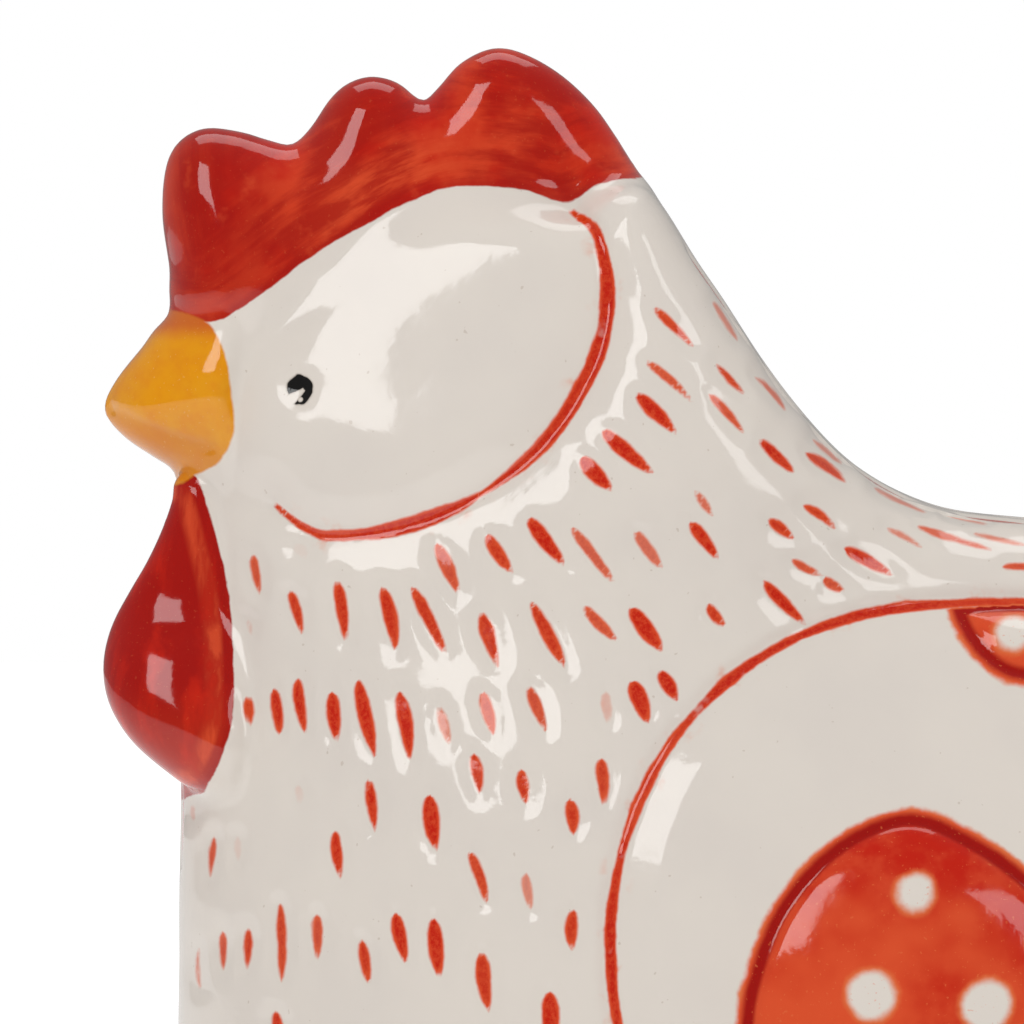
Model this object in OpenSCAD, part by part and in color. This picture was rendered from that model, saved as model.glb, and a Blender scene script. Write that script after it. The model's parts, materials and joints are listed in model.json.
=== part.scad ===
// Glazed ceramic hen with a wind-up musical movement in its hollow base.
// The hen faces -X, +Z is up, and the origin is the middle of its footprint.
// All sizes are in millimetres.

/* [Hen] */
// Wall thickness of the slip-cast ceramic
wall = 4.5; // [3.5:0.5:6]
// Half thickness of the comb on top of the head
comb_half = 7.5; // [6:0.5:9]
// Half thickness of the tail feathers
tail_half = 9; // [7:0.5:11]

/* [Base opening] */
// Centre of the base opening, along the hen
base_x = -15; // [-18:1:-12]
// Radius of the round opening in the ceramic floor
opening_r = 35; // [34:0.5:36]
// Thickness of the ceramic floor
floor_t = 5; // [4:0.5:6]
// Radial thickness of the rubber gasket
gasket_t = 2; // [1.5:0.5:2.5]
// Wall thickness of the plastic key well
well_wall = 2; // [1.5:0.5:2.5]
// Depth from the hen's foot to the roof of the key well
well_depth = 14; // [13:0.5:15]

/* [Winding] */
// Width of the winding key's wing
key_w = 19; // [17:0.5:20]
// Radius of the winding arbor
arbor_r = 2; // [1.8:0.1:2.2]
// Winding arbor's place, measured back from the opening's centre
barrel_dx = -10; // [-11:0.5:-9.5]
// Radius of the spring barrel
barrel_r = 12; // [11.5:0.5:12]

/* [Tune] */
// Radius of the tune cylinder, without its pins
cylinder_r = 6.5; // [6:0.1:6.6]
// Number of tuned teeth on the comb
comb_teeth = 18; // [12:1:18]
// Pins on each line of the cylinder
pins_per_line = 4; // [2:1:5]

/* [Hidden] */

running = 0.05;      // radial clearance of a shaft in its bearing
eps = 0.01;
through = 60;        // long enough to cut through anything in the movement

// Hen: each row is [height, front, back, half width]
breast_rows = [[0, -81, 52, 43], [3, -84.6, 56, 45.5], [12, -86.4, 61, 47.5],
    [45, -87, 72, 49], [75, -86.8, 77, 46], [95, -86.5, 71, 40],
    [108, -86.2, 56, 34], [116, -86.2, 37, 31], [121, -86.2, 19, 29],
    [125, -86, 4, 27.5], [131, -86, -7.5, 26], [140, -86, -16, 24],
    [147, -84.5, -21.5, 22], [152.5, -78, -25.5, 19], [157.5, -69, -30, 14.5],
    [161, -60, -35, 9.5], [163, -53, -41, 4.5]];
rump_rows = [[30, -30, 66, 42], [75, -22, 79, 43], [95, -14, 82, 38],
    [107, -6, 81, 31.5], [115, 0, 78, 23], [120, 6, 72, 15.5], [122.6, 16, 62, 7]];
// Blobs: each row is [x, z, radius]
comb_lobes = [[-80.4, 160.9, 8.3], [-63.6, 164.6, 10.8], [-49, 165.6, 13.6]];
comb_band = [[-79.6, 149, 8], [-78, 156.4, 9.6], [-63, 160.6, 10.4], [-49, 161.6, 10.6],
    [-38.5, 160.4, 7.6]];
tail_lobes = [[79, 134.5, 13], [84.1, 112.5, 11.8], [77.5, 92, 11]];
tail_root = [46, 103, 16];
beak_blobs = [[-93.9, 135.9, 2], [-81.6, 139.4, 7.8], [-82.6, 132, 5]];
wattle_blobs = [[-86.3, 103, 9.4], [-84, 123.5, 3.2], [-84, 93.4, 4]];
wattle_y = 7;        // each wattle's distance from the middle

well_r = opening_r - gasket_t;
gasket_fit = 0.05;   // play between the gasket and the ceramic
roof_t = 2;                              // plastic above the key
boss_h = 4;                              // the bedplate stands on the roof's bosses
plate_z = well_depth + roof_t + boss_h;
plate_t = 2.5;
plate_top = plate_z + plate_t;
boss_places = [[-14, 16], [-14, -16], [20, 12]];
boss_r = 3.2;
well_screw_r = 1.3;
well_hole_r = 1.35;
comb_screw_inset = 3.5;                  // from each end of the comb
comb_screw_y = -20.3;
comb_hole_r = 1.05;
cyl_arbor_r = 1;
stud_r = 0.75;
governor_r = 0.6;                        // the worm's shaft
small_hole_r = 0.85;                     // for the bracket and governor screws

// Gear teeth are a little thin, so that they never bind
crown_teeth = 36;
pinion_teeth = 14;
drive_module = 0.7;
crown_r = drive_module * crown_teeth / 2;
pinion_r = drive_module * pinion_teeth / 2;
wheel_teeth = 48;
idler_pinion_teeth = 12;
train_module = 0.4;
wheel_r = train_module * wheel_teeth / 2;
idler_pinion_r = train_module * idler_pinion_teeth / 2;
train_tip = 0.32;                        // tooth height above and below the pitch circle
train_root = 0.5;
worm_wheel_teeth = 24;
worm_module = 0.5;
worm_wheel_r = worm_module * worm_wheel_teeth / 2;
worm_pitch = PI * worm_module;
worm_core_r = 1.25;
worm_throw = 0.35;
worm_phase = 90;     // a gap of the thread faces the wheel's tooth

barrel_z = plate_top + 0.7;
barrel_h = 12;
barrel_top = barrel_z + barrel_h;
mesh_z = barrel_top + 0.9;               // pitch plane of the crown teeth
cyl_z = mesh_z + pinion_r;               // height of the cylinder's axis
pin_h = 0.5;
cyl_x = barrel_dx + crown_r + 3.8;
cyl_len = 15;
wheel_x = cyl_x + cyl_len + 3.6;
inner_bracket_x = cyl_x - 2;
outer_bracket_x = wheel_x + 2;
idler_angle = -25;
idler_y = (wheel_r + idler_pinion_r) * cos(idler_angle);
idler_z = cyl_z + (wheel_r + idler_pinion_r) * sin(idler_angle);
worm_wheel_x = cyl_x + cyl_len + 1.2;
worm_x = worm_wheel_x + 0.5;
worm_y = idler_y + worm_wheel_r + worm_core_r;
comb_t = 1;
comb_back_y = -23;
comb_seat_y = -16.8;
governor_top = 42;

// ---------- helpers ----------

// Smooth step between rows: a Catmull-Rom curve through one column of the rows
function curve(p0, p1, p2, p3, t) = 0.5 * (2 * p1 + (p2 - p0) * t
    + (2 * p0 - 5 * p1 + 4 * p2 - p3) * t * t + (3 * p1 - p0 - 3 * p2 + p3) * t * t * t);

function refine(rows, steps) = [
    for (i = [0:len(rows) - 2], k = [0:steps - 1])
        let (n = len(rows) - 1)
        curve(rows[max(i - 1, 0)], rows[i], rows[i + 1], rows[min(i + 2, n)], k / steps),
    rows[len(rows) - 1]];

function spow(v, p) = sign(v) * pow(abs(v), p);

// One level of a loft: a superellipse from the front to the back
function ring(row, inset, sides, power) =
    let (a = (row[2] - row[1]) / 2 - inset, b = max(row[3] - inset, 0.8), c = (row[1] + row[2]) / 2)
    [for (i = [0:sides - 1])
        let (t = 360 * i / sides)
        [c + a * spow(cos(t), 2 / power), b * spow(sin(t), 2 / power), row[0]]];

// A closed skin through all the rows of a loft
module loft(rows, inset = 0, sides = 36, power = 2.3, steps = 2) {
    levels = refine(rows, steps);
    count = len(levels);
    points = [for (row = levels) each ring(row, inset, sides, power)];
    walls = [for (k = [0:count - 2], i = [0:sides - 1])
        let (a = k * sides + i, b = k * sides + (i + 1) % sides)
        each [[a, b + sides, b], [a, a + sides, b + sides]]];
    bottom = [for (i = [0:sides - 1]) i];
    top = [for (i = [sides - 1:-1:0]) (count - 1) * sides + i];
    polyhedron(points, concat(walls, [bottom, top]));
}

module blob(place, r, half) {
    translate(place) scale([1, half / r, 1]) sphere(r, $fn = 20);
}

// A straight-sided gear tooth outline, repeated round the wheel
module gear_outline(teeth, root, tip, base_w, tip_w) {
    circle(root, $fn = 96);
    for (i = [0:teeth - 1])
        rotate(360 * i / teeth)
            polygon([[root - 0.3, -base_w / 2], [tip, -tip_w / 2], [tip, tip_w / 2], [root - 0.3, base_w / 2]]);
}

// Puts a shape drawn along +Z onto a shaft that runs along +X
module along_x(x, y, z) {
    translate([base_x + x, y, z]) rotate([90, 0, 90]) children();
}

// Puts a shape at a place in the movement
module in_movement(x = 0, y = 0, z = 0) {
    translate([base_x + x, y, z]) children();
}

module screw(head_r, head_h, shank_r, shank_l) {
    difference() {
        cylinder(h = head_h, r = head_r, $fn = 32);
        translate([-head_r, -0.25, head_h * 0.55]) cube([2 * head_r, 0.5, head_h]);
    }
    translate([0, 0, -shank_l]) cylinder(h = shank_l + eps, r = shank_r, $fn = 24);
}

// ---------- the ceramic ----------

// A chain of blobs along [x, z, radius] rows, each hulled to the next
module chain(rows, half, y = 0) {
    for (i = [0:len(rows) - 2])
        hull() for (row = [rows[i], rows[i + 1]])
            blob([row[0], y, row[1]], row[2], min(half, 1.2 * row[2]));
}

module hen_skin() {
    loft(breast_rows);
    loft(rump_rows, sides = 32, power = 2.15);
    chain(comb_band, comb_half + 1);
    for (i = [0:2]) chain([comb_lobes[i], comb_band[i + 1]], comb_half);
    chain([beak_blobs[0], beak_blobs[1]], 9);
    hull() for (row = beak_blobs) blob([row[0], 0, row[1]], row[2], min(9, 1.2 * row[2]));
    for (side = [-1, 1])
        hull() for (row = wattle_blobs)
            blob([row[0], side * wattle_y * min(1, row[2] / 4), row[1]], row[2], row[2]);
    for (lobe = tail_lobes) chain([lobe, tail_root], tail_half);
}

// The cast is poured out, so the inside follows the outside one wall in
module hen_hollow() {
    difference() {
        loft(breast_rows, inset = wall, sides = 28);
        translate([-100, -60, -5]) cube([200, 120, floor_t + 5]);
        translate([-100, -60, 156]) cube([200, 120, 20]);
    }
    difference() {
        loft(rump_rows, inset = wall, sides = 24, power = 2.15);
        translate([-100, -60, 110]) cube([200, 120, 20]);
    }
}

module glazed_hen_shell() {
    color("ivory") difference() {
        hen_skin();
        hen_hollow();
        in_movement(0, 0, -1) cylinder(h = floor_t + 2, r = opening_r, $fn = 96);
    }
}

// ---------- the base ----------

module key_well() {
    color("dimgray") in_movement() difference() {
        union() {
            translate([0, 0, 1]) cylinder(h = well_depth + roof_t - 1, r = well_r, $fn = 96);
            for (p = boss_places)
                translate([p[0], p[1], well_depth]) cylinder(h = roof_t + boss_h, r = boss_r, $fn = 32);
        }
        cylinder(h = well_depth, r = well_r - well_wall, $fn = 96);
        translate([barrel_dx, 0, 0]) cylinder(h = through, r = arbor_r + running, $fn = 48);
        for (p = boss_places)
            translate([p[0], p[1], 0]) cylinder(h = through, r = well_hole_r, $fn = 32);
    }
}

module base_gasket() {
    color("black") in_movement() difference() {
        translate([0, 0, 1]) cylinder(h = floor_t + 0.5, r = opening_r - gasket_fit, $fn = 96);
        cylinder(h = 20, r = well_r, $fn = 96);
    }
}

module well_screws() {
    color("silver") for (p = boss_places)
        in_movement(p[0], p[1], well_depth) mirror([0, 0, 1])
            screw(2.5, 1.4, well_screw_r, roof_t + boss_h + plate_t - 0.3);
}

// ---------- the movement's fixed parts ----------

module movement_bedplate() {
    color("lightsteelblue") in_movement() difference() {
        union() {
            intersection() {
                translate([-21, -23.5, plate_z]) cube([51, 45.5, plate_t]);
                translate([0, 0, plate_z]) cylinder(h = plate_t, r = 32, $fn = 96);
            }
            // the comb's seat is cast with the plate
            translate([cyl_x, comb_back_y, plate_z])
                cube([cyl_len, comb_seat_y - comb_back_y, cyl_z - comb_t / 2 - 1.4 - plate_z]);
        }
        translate([barrel_dx, 0, 0]) cylinder(h = through, r = arbor_r + running, $fn = 48);
        for (p = boss_places)
            translate([p[0], p[1], 0]) cylinder(h = through, r = well_hole_r, $fn = 32);
        for (x = [comb_screw_inset, cyl_len - comb_screw_inset])
            translate([cyl_x + x, comb_screw_y, cyl_z - 8]) cylinder(h = 20, r = comb_hole_r, $fn = 24);
    }
}

// An upright bearing plate with a foot that is screwed to the bedplate
module bracket(y0, y1, foot_x) {
    difference() {
        union() {
            translate([0, y0, plate_top]) cube([1, y1 - y0, cyl_z + 3 - plate_top]);
            translate([min(0, foot_x), -5, plate_top]) cube([abs(foot_x) + 1, 10, 1]);
        }
        translate([-1, 0, cyl_z]) rotate([0, 90, 0]) cylinder(h = 3, r = cyl_arbor_r + running, $fn = 32);
        for (y = [-3, 3])
            translate([foot_x * 0.6 + 0.5, y, plate_top - 1]) cylinder(h = 3, r = small_hole_r, $fn = 24);
    }
}

module inner_bracket() {
    color("silver") in_movement(inner_bracket_x) bracket(-5, 5, 5);
}

module outer_bracket() {
    color("silver") difference() {
        in_movement(outer_bracket_x) bracket(-5, idler_y + 2.6, -5);
        along_x(outer_bracket_x - 1, idler_y, idler_z) cylinder(h = 3, r = stud_r + running, $fn = 32);
    }
}

module bracket_screws() {
    color("gold") for (x = [inner_bracket_x + 3.5, outer_bracket_x - 2.5], y = [-3, 3])
        in_movement(x, y, plate_top + 1) screw(1.5, 0.9, 0.8, 1);
}

module tone_comb() {
    pitch = cyl_len / comb_teeth;
    tip_y = -(cylinder_r + pin_h + 0.15);
    color("lightgray") in_movement(cyl_x, 0, cyl_z - comb_t / 2) difference() {
        union() {
            for (i = [0:comb_teeth - 1])
                translate([(i + 0.5) * pitch - 0.3, comb_seat_y, 0])
                    cube([0.6, tip_y - comb_seat_y, comb_t]);
            translate([0, comb_back_y, -1.4])
                cube([cyl_len, comb_seat_y - comb_back_y + eps, comb_t + 1.4]);
            // the bass teeth carry tuning weights
            for (i = [0:4])
                translate([(i + 0.5) * pitch - 0.3, tip_y - 3 - 0.6 * i, -1.6 + 0.2 * i])
                    cube([0.6, 2.4, 1.7 - 0.2 * i]);
        }
        for (x = [comb_screw_inset, cyl_len - comb_screw_inset])
            translate([x, comb_screw_y, -2]) cylinder(h = 6, r = comb_hole_r, $fn = 24);
    }
}

module comb_screws() {
    color("gold") for (x = [comb_screw_inset, cyl_len - comb_screw_inset])
        in_movement(cyl_x + x, comb_screw_y, cyl_z + comb_t / 2) screw(2, 1.4, 1, 6.5);
}

module idler_stud() {
    color("silver") along_x(worm_wheel_x - 0.6, idler_y, idler_z) {
        cylinder(h = outer_bracket_x - worm_wheel_x + 1.6, r = stud_r, $fn = 32);
        cylinder(h = 0.4, r = 1.1, $fn = 32);
    }
}

module governor_frame() {
    post_x = worm_x - 4.1;
    color("goldenrod") in_movement() difference() {
        union() {
            translate([post_x, worm_y - 2.5, plate_top]) cube([1.4, 5, governor_top + 1.2 - plate_top]);
            for (z = [plate_top, plate_top + 3.6, governor_top])
                translate([post_x, worm_y - 2.5, z]) cube([6, 5, 1.2]);
        }
        translate([worm_x, worm_y, plate_top + 3]) cylinder(h = 30, r = governor_r + running, $fn = 24);
        translate([post_x + 3.6, worm_y, plate_top - 1]) cylinder(h = 3, r = small_hole_r, $fn = 24);
    }
}

module governor_screw() {
    color("gold") in_movement(worm_x - 0.5, worm_y, plate_top + 1.2) screw(1.4, 0.8, 0.8, 1.2);
}

// ---------- winding ----------

// A few turns of wire grip the arbor, so that it turns only one way under load
module clutch_spring() {
    turns = 3;
    wire = 0.42;
    per_turn = 20;
    mean_r = arbor_r + running + wire + 0.02;
    ring_n = 8;
    count = turns * per_turn;
    pitch = 2 * wire + 0.12;
    points = [for (k = [0:count], j = [0:ring_n - 1])
        let (t = 360 * k / per_turn, s = 360 * j / ring_n, r = mean_r + wire * cos(s))
        [r * cos(t), r * sin(t), pitch * k / per_turn + wire * sin(s)]];
    walls = [for (k = [0:count - 1], j = [0:ring_n - 1])
        let (a = k * ring_n + j, b = k * ring_n + (j + 1) % ring_n)
        each [[a, b, b + ring_n], [a, b + ring_n, a + ring_n]]];
    start = [for (j = [ring_n - 1:-1:0]) j];
    end = [for (j = [0:ring_n - 1]) count * ring_n + j];
    color("gray") in_movement(barrel_dx, 0, well_depth + roof_t + wire + 0.05)
        polyhedron(points, concat(walls, [start, end]));
}

module winding_key() {
    wing_r = 4.9;
    color("gold") in_movement(barrel_dx) difference() {
        union() {
            translate([0, 0, 6.4]) cylinder(h = well_depth - 7.2, r = 3, $fn = 48);
            // a flat wing with two round ends
            translate([0, 1, 0]) rotate([90, 0, 0]) linear_extrude(2) difference() {
                union() {
                    for (side = [-1, 1])
                        translate([side * (key_w / 2 - wing_r), 2.6 + wing_r]) circle(wing_r, $fn = 48);
                    translate([wing_r - key_w / 2, 3.4]) square([key_w - 2 * wing_r, 7.4]);
                }
                for (side = [-1, 1])
                    translate([side * (key_w / 2 - wing_r + 0.4), 2.6 + wing_r]) circle(2.3, $fn = 32);
            }
        }
        translate([0, 0, 8]) cylinder(h = 20, r = arbor_r, $fn = 48);
    }
}

module winding_arbor() {
    color("silver") in_movement(barrel_dx, 0, 8) difference() {
        cylinder(h = barrel_top + 2.2 - 8, r = arbor_r, $fn = 48);
        // groove for the clip
        translate([0, 0, barrel_top + 0.4 - 8]) difference() {
            cylinder(h = 0.7, r = arbor_r + 1, $fn = 48);
            cylinder(h = 0.7, r = arbor_r - 0.5, $fn = 48);
        }
    }
}

module arbor_clip() {
    color("silver") in_movement(barrel_dx, 0, barrel_top + 0.45) difference() {
        cylinder(h = 0.6, r = arbor_r + 1.6, $fn = 48);
        translate([0, 0, -1]) cylinder(h = 3, r = arbor_r - 0.5, $fn = 48);
        translate([0, -arbor_r + 0.6, -1]) cube([6, 2 * arbor_r - 1.2, 3]);
    }
}

// ---------- spring barrel ----------

module spring_barrel() {
    rim_z = barrel_h - 1.4;
    color("gold") in_movement(barrel_dx, 0, barrel_z) difference() {
        union() {
            cylinder(h = barrel_h, r = barrel_r, $fn = 96);
            translate([0, 0, rim_z]) cylinder(h = 1.4, r = crown_r + 0.7, $fn = 96);
            // crown teeth stand on the rim
            for (i = [0:crown_teeth - 1])
                rotate(360 * i / crown_teeth) translate([crown_r - 0.7, 0, barrel_h - 0.2])
                    rotate([90, 0, 90]) linear_extrude(1.3)
                        polygon([[-0.6, 0], [0.6, 0], [0.22, 1.7], [-0.22, 1.7]]);
        }
        translate([0, 0, 1.2]) cylinder(h = 20, r = barrel_r - 1, $fn = 96);
        translate([0, 0, -1]) cylinder(h = 5, r = arbor_r + running, $fn = 48);
    }
}

module barrel_cover() {
    color("khaki") in_movement(barrel_dx, 0, barrel_top - 1) difference() {
        cylinder(h = 1, r = barrel_r - 1, $fn = 96);
        translate([0, 0, -1]) cylinder(h = 5, r = arbor_r + running, $fn = 48);
    }
}

// The strip lies wound on itself in a spiral
module mainspring() {
    turns = 9;
    strip = 0.3;
    per_turn = 24;
    inner = arbor_r + 0.5;
    outer = barrel_r - 1.6;
    count = turns * per_turn;
    function place(k, side) =
        let (r = inner + (outer - inner) * k / count + side * strip / 2, t = 360 * k / per_turn)
        [r * cos(t), r * sin(t)];
    color("steelblue") in_movement(barrel_dx, 0, barrel_z + 1.6) linear_extrude(barrel_h - 3.2)
        polygon([for (k = [0:count]) place(k, 1), for (k = [count:-1:0]) place(k, -1)]);
}

// ---------- tune cylinder ----------

module tune_cylinder() {
    pitch = cyl_len / comb_teeth;
    color("gold") along_x(cyl_x, 0, cyl_z) difference() {
        union() {
            cylinder(h = cyl_len, r = cylinder_r, $fn = 96);
            // the pins of each line start at a different angle
            for (i = [0:comb_teeth - 1], k = [0:pins_per_line - 1])
                rotate(137 * i + 360 * k / pins_per_line + 11 * ((i * k) % 5))
                    translate([cylinder_r - 0.4, 0, (i + 0.5) * pitch]) rotate([0, 90, 0])
                        cylinder(h = 0.4 + pin_h, r = 0.2, $fn = 16);
        }
        translate([0, 0, 0.8]) difference() {
            cylinder(h = cyl_len - 1.6, r = cylinder_r - 0.9, $fn = 96);
            translate([0, 0, -1]) cylinder(h = cyl_len + 2, r = 2, $fn = 48);
        }
        translate([0, 0, -1]) cylinder(h = cyl_len + 2, r = cyl_arbor_r, $fn = 48);
    }
}

module cylinder_arbor() {
    start = barrel_dx + crown_r - 1.6;
    color("silver") along_x(start, 0, cyl_z)
        cylinder(h = outer_bracket_x + 1.8 - start, r = cyl_arbor_r, $fn = 48);
}

module cylinder_pinion() {
    color("gold") along_x(barrel_dx + crown_r - 1.2, 0, cyl_z) difference() {
        linear_extrude(2.4) rotate(180 / pinion_teeth - 90)
            gear_outline(pinion_teeth, pinion_r - 0.95, pinion_r + 0.6, 1.25, 0.45);
        translate([0, 0, -1]) cylinder(h = 5, r = cyl_arbor_r, $fn = 48);
    }
}

module cylinder_wheel() {
    color("gold") along_x(wheel_x, 0, cyl_z) difference() {
        linear_extrude(1) rotate(idler_angle)
            gear_outline(wheel_teeth, wheel_r - train_root, wheel_r + train_tip, 0.6, 0.22);
        translate([0, 0, -1]) cylinder(h = 5, r = cyl_arbor_r, $fn = 48);
        for (i = [0:4])
            rotate(72 * i) translate([5.3, 0, -1]) cylinder(h = 5, r = 1.9, $fn = 32);
    }
}

// ---------- governor ----------

module idler_gear() {
    color("gold") along_x(worm_wheel_x, idler_y, idler_z) difference() {
        union() {
            linear_extrude(1)
                gear_outline(worm_wheel_teeth, worm_wheel_r - train_root, worm_wheel_r + 0.2, 0.75, 0.3);
            translate([0, 0, 0.5]) linear_extrude(wheel_x - worm_wheel_x + 0.8)
                rotate(180 + idler_angle + 180 / idler_pinion_teeth)
                    gear_outline(idler_pinion_teeth, idler_pinion_r - train_root,
                        idler_pinion_r + train_tip, 0.6, 0.22);
        }
        translate([0, 0, -1]) cylinder(h = 10, r = stud_r + running, $fn = 32);
    }
}

// An off-centre round section, twisted, is a smooth single-start thread
module governor_worm() {
    thread_turns = 6;
    thread_h = thread_turns * worm_pitch;
    color("white") in_movement(worm_x, worm_y) union() {
        translate([0, 0, plate_top + 2])
            cylinder(h = governor_top + 5 - plate_top, r = governor_r, $fn = 24);
        translate([0, 0, idler_z - thread_h / 2])
            linear_extrude(thread_h, twist = -360 * thread_turns, slices = 12 * thread_turns)
                rotate(worm_phase) translate([worm_throw, 0]) circle(worm_core_r, $fn = 16);
    }
}

module air_brake() {
    color("white") in_movement(worm_x, worm_y, governor_top + 2) difference() {
        union() {
            cylinder(h = 4.6, r = 1.1, $fn = 32);
            for (side = [0, 180])
                rotate(side) translate([0.5, -0.2, 0.3]) cube([2.7, 0.4, 4]);
        }
        translate([0, 0, -1]) cylinder(h = 8, r = governor_r, $fn = 24);
    }
}

glazed_hen_shell();
key_well();
base_gasket();
well_screws();
movement_bedplate();
inner_bracket();
outer_bracket();
bracket_screws();
tone_comb();
comb_screws();
idler_stud();
governor_frame();
governor_screw();
clutch_spring();
winding_key();
winding_arbor();
arbor_clip();
spring_barrel();
barrel_cover();
mainspring();
tune_cylinder();
cylinder_arbor();
cylinder_pinion();
cylinder_wheel();
idler_gear();
governor_worm();
air_brake();
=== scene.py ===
"""The looks of a glazed, hand-painted ceramic hen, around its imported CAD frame.

The hen's skin is worked out as a distance to its surface: flat outlines, drawn in the plane Y = 0,
are puffed out sideways and joined softly. That distance is meshed, and then pressed and painted.
All lengths in the shape code are in millimetres. The scene itself is in metres.
"""

import json
import math

import bmesh
import bpy
import numpy as np
import openvdb
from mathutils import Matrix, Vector


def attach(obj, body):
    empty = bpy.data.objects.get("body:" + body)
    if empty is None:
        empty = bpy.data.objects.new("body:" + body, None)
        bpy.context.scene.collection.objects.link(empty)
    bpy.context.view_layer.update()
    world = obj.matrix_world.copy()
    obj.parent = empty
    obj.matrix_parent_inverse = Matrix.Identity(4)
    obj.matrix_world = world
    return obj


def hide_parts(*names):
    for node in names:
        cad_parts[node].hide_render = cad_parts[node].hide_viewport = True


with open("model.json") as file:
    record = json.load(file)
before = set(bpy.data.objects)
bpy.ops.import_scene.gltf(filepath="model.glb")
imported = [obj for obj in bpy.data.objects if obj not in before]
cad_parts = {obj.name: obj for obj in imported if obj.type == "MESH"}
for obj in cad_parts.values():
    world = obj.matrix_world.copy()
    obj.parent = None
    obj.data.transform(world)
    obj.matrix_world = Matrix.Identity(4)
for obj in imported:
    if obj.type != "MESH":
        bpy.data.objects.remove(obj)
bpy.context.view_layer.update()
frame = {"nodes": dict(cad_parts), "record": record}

MM = 0.001
rng = np.random.default_rng(7)

# ---------- where the drawing plane is seen from ----------
# Outlines of painted features are drawn on the plane Y = 0 as they look from this eye point.
VIEW_CENTRE = np.array([-46.8, 0.0, 123.4])
VIEW_DISTANCE = 1024.0
VIEW_TILT = math.radians(2.0)
EYE_POINT = VIEW_CENTRE + VIEW_DISTANCE * np.array([0, -math.cos(VIEW_TILT), math.sin(VIEW_TILT)])
FRAME_WIDTH = 122.9

# ---------- sizes of the shell ----------
WALL = 4.5
FLOOR = 5.0
OPENING_X = -15.0
OPENING_R = 35.0
VOXEL = 1.1

# ---------- the feather marks that the drawing leaves out ----------
MARK_SPACING = (8.5, 8.5, 12.0)
CANDIDATES = 12000

# How much narrower the head and the breast are in front than behind
FACE_TAPER = 0.32
BREAST_TAPER = 0.22
EYE = (-72.5, 138.1)
CHEEK_CENTRE = (-58.0, 148.0)
STROKE_WEIGHT = 1.22

# ---------- what is pressed into the clay: (depth or height, width) ----------
CHEEK_VALLEY = (1.3, 4.0)
CHEEK_GROOVE = (0.45, 0.9)
CHEEK_REAR_VALLEY = (0.65, 6.5)
WING_STEP = (1.35, 6.2)
WING_GROOVE = (0.5, 1.0)
PATCH_STEP = (0.3, 1.0)
PATCH_GROOVE = (0.5, 0.9)
PATCH_GROOVE_INSET = 1.7
PATCH_DOME = (4.2, 25.0)
EYE_DIMPLE = (0.6, 1.9)
PARTING_GROOVE = (0.4, 0.9)
TAIL_GROOVE = (0.7, 1.3)
MARK_DENT = (0.3, 1.3)

# ---------- outlines, as (x, z) points ----------
BODY = [(-78, -14), (-82.5, 0), (-85.6, 6), (-86.6, 16), (-87, 45), (-86.8, 78), (-86.4, 100),
        (-86.2, 118), (-86, 128), (-85.8, 138), (-83.5, 144.6), (-80.4, 146), (-75.2, 149.6),
        (-70, 153.4), (-64.8, 156.4), (-59.3, 159.2), (-53.5, 161), (-46, 161.4), (-40.6, 161.4),
        (-36.6, 162.8), (-31.8, 163), (-28.8, 160.2), (-24.8, 153.8), (-21.4, 148.8), (-17, 142),
        (-12.4, 135.9), (-7.6, 130.7), (-3, 127.3), (2, 124.9), (7, 123.5), (14.6, 122.7), (24, 122),
        (36, 122.6), (48, 123.2), (60, 121), (70, 114.5), (77, 105), (80, 93), (79, 78), (76, 60),
        (72, 40), (63, 16), (58, 4), (54.5, 0), (50, -14)]
COMB = [(-87.1, 147), (-87.9, 153), (-88.7, 159), (-88.3, 164.6), (-86.7, 167.8), (-83.6, 169.4),
        (-79.4, 169), (-76, 168), (-73.2, 167.5), (-71, 169.4), (-68.6, 172.9), (-66.4, 174.8),
        (-63.6, 175.6), (-60.6, 174.9), (-58.4, 173.2), (-57.2, 172.8), (-55.6, 174.3), (-52.8, 177.3),
        (-48.8, 179), (-44.6, 178), (-39.8, 174.9), (-35.4, 170), (-32.6, 163.7), (-36, 155),
        (-60, 150), (-80, 140)]
BEAK = [(-80, 150), (-88.1, 146.6), (-91.3, 143), (-94.3, 139.2), (-95.8, 136), (-95.1, 134.3),
        (-92.9, 132.1), (-89.9, 130.1), (-87.3, 128.4), (-86, 126.6), (-80, 123), (-74, 130),
        (-72, 138), (-74, 146)]
WATTLE = [(-86.6, 127.8), (-87.4, 124.8), (-88.7, 121.2), (-90.4, 117.6), (-92.5, 114), (-94.4, 110.4),
          (-95.4, 106.8), (-95.4, 103.2), (-94.3, 99.8), (-91.8, 96.2), (-87.6, 92.6), (-84, 90.4),
          (-78, 89), (-74, 96), (-72, 108), (-76, 120), (-82, 128)]
TAIL = [(34, 119), (50, 127), (62, 138.5), (70, 145.5), (79, 147.5), (88.5, 143.5), (91.5, 134.5),
        (88.8, 126.5), (87.6, 124), (92, 121.5), (94.6, 114.5), (94.2, 107), (90, 101.2), (87.8, 100.6),
        (88.6, 96), (88.2, 90.5), (84.5, 83.6), (78, 81), (60, 85), (40, 100)]
CHEEK_LINE = [(-76.2, 124.2), (-72.6, 121.6), (-68.6, 120.6), (-60.2, 121.8), (-51.8, 125.4),
              (-43.4, 132), (-37.4, 141.6), (-35.6, 150), (-36.8, 157.2), (-39.8, 160.8)]
WING = [(-35, 70.6), (-33.2, 84), (-27.5, 96), (-18, 105.3), (-6, 110.8), (8, 112.6), (24, 112),
        (42, 108.5), (58, 103), (71, 96), (64, 82), (54, 65), (41, 48), (26, 35), (8, 28.5),
        (-10, 31.5), (-24, 42), (-32.5, 56)]
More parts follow.
